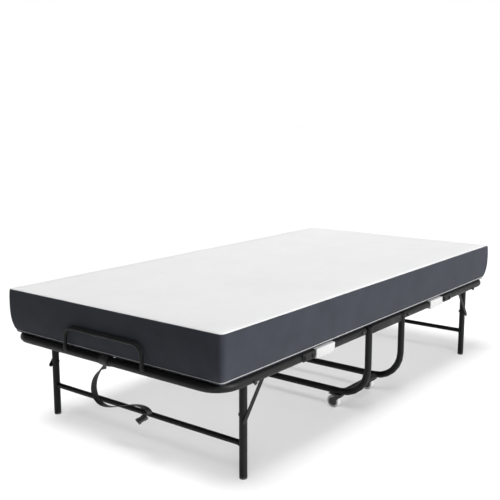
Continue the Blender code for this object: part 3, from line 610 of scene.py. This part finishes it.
# (y, z) of the hanging strap's middle line, from under the end tube to the buckle
STRAP_ROUTE = [
    (0.004, 0.3025), (0.022, 0.2960), (0.052, 0.2810), (0.082, 0.2580), (0.102, 0.2280),
    (0.110, 0.1960), (0.103, 0.1690), (0.084, 0.1520), (0.056, 0.1460), (0.020, 0.1510),
    (-0.022, 0.1640), (-0.064, 0.1770), (-0.100, 0.1830), (-0.128, 0.1810), (-0.142, 0.1730),
    (-0.143, 0.1640),
]
SHIFT_POINTS = 3  # the points in which the strap moves in from under the tube
ROUTE_STEPS = 6
LOOP_HALF, LOOP_STEPS, LOOP_GAP, LOOP_WAVE = 0.020, 36, 0.0006, 0.0008

# The tail starts turned across the tube, then hangs with its width along the bed
START_SIDE, START_SHARE = Vector((0.35, 0.31, 0.88)), 0.28
TWIST, TWIST_TURNS, LEAN = 0.05, 1.3, 0.15
# Half of the webbing's section, as shares of its half width and half thickness
RIBBON_SIDE = [(-1.0, -0.45), (-0.5, -0.95), (0.0, -1.0), (0.5, -0.95), (1.0, -0.45)]

# The buckle stands in its own frame, with the strap's end at its origin and its length along Z
BUCKLE_HEADING = (-0.80, 0.42, -0.42)  # from the strap's end to the buckle's far end
BUCKLE_SIDE = (-0.30, -0.95, 0.10)
BUCKLE_STANDOFF = 0.0095  # clears the turned edge of the webbing
BUCKLE_SHELL = ((-0.017, -0.0045, 0.0003), (0.017, 0.0045, 0.0340))
BUCKLE_CUTS = [
    ((-0.022, -0.008, 0.0130), (-0.0120, 0.008, 0.0250)),  # side windows
    ((0.0120, -0.008, 0.0130), (0.022, 0.008, 0.0250)),
    ((-0.0135, -0.008, 0.0040), (0.0135, 0.008, 0.0062)),  # strap slot
    ((-0.0065, -0.008, 0.0290), (0.0065, 0.008, 0.0400)),  # notch in the far end
]
BUCKLE_PRONG = ((0.0110, -0.0026, 0.0115), (0.0150, 0.0026, 0.0265))


def smooth_route(points, per_span):
    """A Catmull-Rom curve through the points."""
    padded = [points[0], *points, points[-1]]
    route = []
    for p0, p1, p2, p3 in zip(padded, padded[1:], padded[2:], padded[3:]):
        for step in range(per_span):
            t = step / per_span
            route.append(0.5 * (2 * p1 + (p2 - p0) * t + (2 * p0 - 5 * p1 + 4 * p2 - p3) * t * t
                                + (3 * p1 - 3 * p2 + p3 - p0) * t ** 3))
    route.append(points[-1])
    return route


def webbing_strip(name, centres, sides, half_width, closed):
    """A strip of webbing with rounded edges. sides are its width directions at the centres."""
    bm = bmesh.new()
    uv = bm.loops.layers.uv.new("length")
    half_t = STRAP_THICKNESS / 2
    section = RIBBON_SIDE + [(-a, -b) for a, b in RIBBON_SIDE]
    count = len(centres)
    rings, lengths = [], [0.0]
    for index, (centre, side) in enumerate(zip(centres, sides)):
        ahead = centres[(index + 1) % count] if closed or index < count - 1 else centre
        behind = centres[index - 1] if closed or index > 0 else centre
        tangent = (ahead - behind).normalized()
        side = (side - tangent * side.dot(tangent)).normalized()
        up = tangent.cross(side)
        rings.append([bm.verts.new(centre + side * half_width * a + up * half_t * b)
                      for a, b in section])
        if index:
            lengths.append(lengths[-1] + (centre - centres[index - 1]).length)
    lengths.append(lengths[-1] + (centres[0] - centres[-1]).length)
    for k in range(count if closed else count - 1):
        near, far = rings[k], rings[(k + 1) % count]
        for j in range(len(section)):
            other = (j + 1) % len(section)
            face = bm.faces.new((near[j], near[other], far[other], far[j]))
            places = ((j, k), (other, k), (other, k + 1), (j, k + 1))
            for loop, (m, station) in zip(face.loops, places):
                loop[uv].uv = (section[m][0] * half_width, lengths[station])
    if not closed:
        bm.faces.new(rings[0][::-1])
        bm.faces.new(rings[-1])
    bmesh.ops.recalc_face_normals(bm, faces=bm.faces)
    mesh = to_mesh(name, bm)
    smooth(mesh, 50)
    piece = new_object(name, mesh, [MATERIALS["webbing_black"]])
    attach(piece, "foot_deck")
    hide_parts("storage_strap")
    return piece


def build_loop():
    """The strap's loop round the end tube at the foot."""
    radius = RAIL_RADIUS + LOOP_GAP + STRAP_THICKNESS / 2
    angles = [2 * math.pi * k / LOOP_STEPS for k in range(LOOP_STEPS)]
    centres = [Vector((BED_SHIFT - END_X + radius * math.sin(a), LOOP_Y + LOOP_WAVE * math.sin(3 * a),
                       RAIL_Z + radius * math.cos(a))) for a in angles]
    sides = [Vector((0, 1, 0))] * LOOP_STEPS
    return webbing_strip("storage_strap_loop", centres, sides, LOOP_HALF, True)


def build_tail():
    """The tail that hangs from the loop, and its middle line."""
    points = []
    for index, (y, z) in enumerate(STRAP_ROUTE):
        share = min(index / SHIFT_POINTS, 1.0)
        points.append(Vector((BED_SHIFT - END_X + (STRAP_X + END_X) * share, y, z)))
    path = smooth_route(points, ROUTE_STEPS)
    sides = []
    for index in range(len(path)):
        share = index / (len(path) - 1)
        turn = max(0.0, 1 - share / START_SHARE)
        turn = turn * turn * (3 - 2 * turn)
        twist = TWIST * math.sin(2 * math.pi * TWIST_TURNS * share)
        across = Vector((1.0, twist, twist - LEAN * share))
        sides.append(across.lerp(START_SIDE, turn).normalized())
    tail = webbing_strip("storage_strap_tail", path, sides, STRAP_HALF, False)
    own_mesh(tail)
    return tail, path


def rounded_box(name, corners, bevel, segments):
    """A box between two corners with rounded edges, in dark plastic."""
    bm = bmesh.new()
    bmesh.ops.create_cube(bm, size=1.0)
    low, high = (Vector(corner) for corner in corners)
    for vert in bm.verts:
        vert.co = Vector([low[k] + (vert.co[k] + 0.5) * (high[k] - low[k]) for k in range(3)])
    bmesh.ops.bevel(bm, geom=bm.edges[:], offset=bevel, segments=segments, affect="EDGES",
                    profile=0.5)
    return new_object(name, to_mesh(name, bm), [MATERIALS["plastic_dark"]])


def build_buckle(path):
    """A side-release buckle: a flat shell with a window at each side, and the prongs in them."""
    shell = rounded_box("strap_buckle_shell", BUCKLE_SHELL, 0.0022, 3)
    for corners in BUCKLE_CUTS:
        tool = rounded_box("tool", corners, 0.0010, 2)
        cut(shell, tool, "DIFFERENCE")
        bpy.data.objects.remove(tool, do_unlink=True)
    (inner, low_y, low_z), (outer, high_y, high_z) = BUCKLE_PRONG
    left = ((-outer, low_y, low_z), (-inner, high_y, high_z))
    prongs = [rounded_box("strap_buckle_prong_left", left, 0.0012, 2),
              rounded_box("strap_buckle_prong_right", BUCKLE_PRONG, 0.0012, 2)]
    heading = Vector(BUCKLE_HEADING).normalized()
    normal = heading.cross(Vector(BUCKLE_SIDE)).normalized()
    turn = Matrix((normal.cross(heading), normal, heading)).transposed().to_4x4()
    place = Matrix.Translation(path[-1] + heading * BUCKLE_STANDOFF) @ turn
    for piece in (shell, *prongs):
        piece.data.transform(place)
        smooth(piece.data, 35)
        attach(piece, "foot_deck")
        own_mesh(piece)
    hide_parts("strap_buckle")
    return [shell, *prongs]


strap_loop = build_loop()
strap_tail, strap_path = build_tail()
buckle = build_buckle(strap_path)


# ---------------------------------------------------------------- welds

WELD_STEPS, WELD_SECTION = 28, 8
WELD_UNEVEN, WELD_UNEVEN_SCALE = 0.22, 3
LEG_RADIUS, LEG_BAR_Z, LEG_WELD_INSET = 0.0125, 0.110, 0.0121
LEG_WELD_RADIUS, LEG_BEAD = 0.0092, 0.0016
BASE_WELD_INSET, BASE_WELD_RADIUS, BASE_BEAD = 0.0006, 0.0102, 0.0017
SIDES = (("near", -1), ("far", 1))


def weld_ring(name, centre, axis, radius, bead, body, seed):
    """An uneven bead of weld round the end of a tube."""
    axis = Vector(axis)
    side = axis.orthogonal().normalized()
    up = axis.cross(side)
    bm = bmesh.new()
    rings = []
    for k in range(WELD_STEPS):
        angle = 2 * math.pi * k / WELD_STEPS
        cosine, sine = math.cos(angle), math.sin(angle)
        out = side * cosine + up * sine
        place = Vector((cosine * WELD_UNEVEN_SCALE, sine * WELD_UNEVEN_SCALE, seed))
        size = bead * (1 + WELD_UNEVEN * noise.noise(place))
        ring = []
        for j in range(WELD_SECTION):
            turn = 2 * math.pi * j / WELD_SECTION
            offset = out * (size * math.cos(turn)) + axis * (size * math.sin(turn))
            ring.append(bm.verts.new(Vector(centre) + out * radius + offset))
        rings.append(ring)
    for k in range(WELD_STEPS):
        near, far = rings[k], rings[(k + 1) % WELD_STEPS]
        for j in range(WELD_SECTION):
            other = (j + 1) % WELD_SECTION
            bm.faces.new((near[j], near[other], far[other], far[j]))
    bmesh.ops.recalc_face_normals(bm, faces=bm.faces)
    mesh = to_mesh(name, bm)
    mesh.shade_smooth()
    ring = new_object(name, mesh, [MATERIALS["frame_black"]])
    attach(ring, body)


def build_welds():
    """Beads where the leg crossbars and the base crossbars meet their tubes."""
    for end in ("foot", "head"):
        low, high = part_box(f"{end}_leg_frame")
        x = (low.x + high.x) / 2
        for side, sign in SIDES:
            y = sign * (high.y - LEG_RADIUS) - sign * LEG_WELD_INSET
            weld_ring(f"weld_{end}_leg_{side}", (x, y, LEG_BAR_Z), (0, 1, 0), LEG_WELD_RADIUS,
                      LEG_BEAD, f"{end}_leg", 3.1 * sign + x)
    for side, sign in SIDES:
        low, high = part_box(f"base_crossbar_{side}")
        y, z = (low.y + high.y) / 2, (low.z + high.z) / 2
        for end, x in (("foot", low.x + BASE_WELD_INSET), ("head", high.x - BASE_WELD_INSET)):
            weld_ring(f"weld_{end}_base_{side}", (x, y, z), (1, 0, 0), BASE_WELD_RADIUS,
                      BASE_BEAD, "base", 7.7 * sign + x)


build_welds()


# ---------------------------------------------------------------- studio

FLOOR_HALF, FLOOR_CELLS, FLOOR_DROP = 40, 8, 0.0004
WORLD_BRIGHT, WORLD_DIM = 1.00, 0.02
# The world brightens along X away from the foot end, and downwards from overhead
WORLD_FOOT_EDGE, WORLD_TOP_EDGE = (-0.50, 0.10), (0.70, 0.25)

# name, direction, width in degrees, strength, whether it lights the floor (or else the bed),
# and what casts its shadow: all of the bed, its low parts, or nothing
SUNS = [("key_side", (0.10, -0.90, 0.40), 22, 4.3, False, "all"),
        ("overhead_bed", (0.0, 0.0, 1.0), 25, 1.15, False, "all"),
        ("overhead_floor", (-0.24, 0.03, 0.97), 28, 2.1, True, "all"),
        ("contact_floor", (-0.45, -0.35, 0.82), 24, 0.95, True, "low"),
        ("fill_floor", (0.0, 0.0, 1.0), 45, 1.95, True, "nothing")]
SUN_DISTANCE = 4  # a sun's place only keeps it clear of the bed
LOW_PARTS = ("base_", "fork_", "tyre_", "hub_")
FILL_PLACE, FILL_POWER, FILL_SIZE = (1.1, 0.5, 2.1), 3.4, 1.5

LENS, SENSOR = 57.88, 36.0  # millimetres
CAMERA_PLACE = (-2.57575 + BED_SHIFT, -1.83694, 1.08522)
CAMERA_PITCH, CAMERA_HEADING = 9.739, 37.804  # degrees down from level, and from X towards Y


def build_floor():
    bm = bmesh.new()
    bmesh.ops.create_grid(bm, x_segments=FLOOR_CELLS, y_segments=FLOOR_CELLS, size=FLOOR_HALF)
    floor = new_object("studio_floor", to_mesh("studio_floor", bm), [floor_paint()])
    floor.location.z = -FLOOR_DROP
    return floor


def build_world():
    """White to the camera, and a soft light that is dimmer overhead and behind the foot end."""
    world = bpy.data.worlds.new("studio")
    scene.world = world
    world.use_nodes = True
    background = world.node_tree.nodes["Background"]
    background.inputs["Color"].default_value = (1, 1, 1, 1)
    add, join = world.node_tree.nodes.new, world.node_tree.links.new

    def combined(operation, first, second):
        node = add("ShaderNodeMath")
        node.operation = operation
        join(first, node.inputs[0])
        join(second, node.inputs[1])
        return node.outputs[0]

    split = add("ShaderNodeSeparateXYZ")
    join(add("ShaderNodeTexCoord").outputs["Generated"], split.inputs[0])
    ramps = []
    for axis, edges in (("X", WORLD_FOOT_EDGE), ("Z", WORLD_TOP_EDGE)):
        ramp = add("ShaderNodeMapRange")
        ramp.interpolation_type = "SMOOTHSTEP"
        join(split.outputs[axis], ramp.inputs["Value"])
        ramp.inputs["From Min"].default_value, ramp.inputs["From Max"].default_value = edges
        ramps.append(ramp.outputs["Result"])
    level = add("ShaderNodeMapRange")
    join(combined("MULTIPLY", *ramps), level.inputs["Value"])
    level.inputs["To Min"].default_value = WORLD_DIM
    level.inputs["To Max"].default_value = WORLD_BRIGHT
    seen = add("ShaderNodeLightPath").outputs["Is Camera Ray"]
    join(combined("MAXIMUM", level.outputs["Result"], seen), background.inputs["Strength"])


def linked_collection(name, pieces):
    """A collection for light linking, outside the scene's own."""
    collection = bpy.data.collections.new(name)
    for piece in pieces:
        collection.objects.link(piece)
    return collection


def build_lights(floor):
    """Separate lights for the bed and the floor, so that the floor stays pale round the bed."""
    bed = linked_collection("lit_bed", [piece for piece in scene.objects
                                        if piece.type == "MESH" and piece != floor])
    ground = linked_collection("lit_floor", [floor])
    low = linked_collection("low_parts", [floor] + [
        node for name, node in nodes.items() if name.startswith(LOW_PARTS) or "_leg_" in name])
    blockers = {"low": low, "nothing": ground}
    for name, towards, spread, strength, on_floor, shadow in SUNS:
        light = bpy.data.lights.new(name, "SUN")
        light.energy = strength
        light.angle = math.radians(spread)
        lamp = bpy.data.objects.new(name, light)
        lamp.location = Vector(towards) * SUN_DISTANCE
        lamp.rotation_euler = Vector(towards).to_track_quat("Z", "Y").to_euler()
        lamp.light_linking.receiver_collection = ground if on_floor else bed
        if shadow in blockers:
            lamp.light_linking.blocker_collection = blockers[shadow]
        scene.collection.objects.link(lamp)
    light = bpy.data.lights.new("head_end_fill", "AREA")
    light.energy, light.size = FILL_POWER, FILL_SIZE
    lamp = bpy.data.objects.new("head_end_fill", light)
    lamp.location = FILL_PLACE
    lamp.visible_camera = False
    lamp.light_linking.receiver_collection = bed
    scene.collection.objects.link(lamp)


def build_camera():
    camera = bpy.data.cameras.new("camera")
    camera.lens = LENS
    camera.sensor_width = SENSOR
    camera_object = bpy.data.objects.new("camera", camera)
    camera_object.location = CAMERA_PLACE
    camera_object.rotation_euler = (math.radians(90 - CAMERA_PITCH), 0,
                                    math.radians(CAMERA_HEADING - 90))
    scene.collection.objects.link(camera_object)
    scene.camera = camera_object


studio_floor = build_floor()
build_world()
build_lights(studio_floor)
build_camera()
scene.view_settings.view_transform = "Standard"
scene.view_settings.look = "None"

bpy.context.view_layer.update()
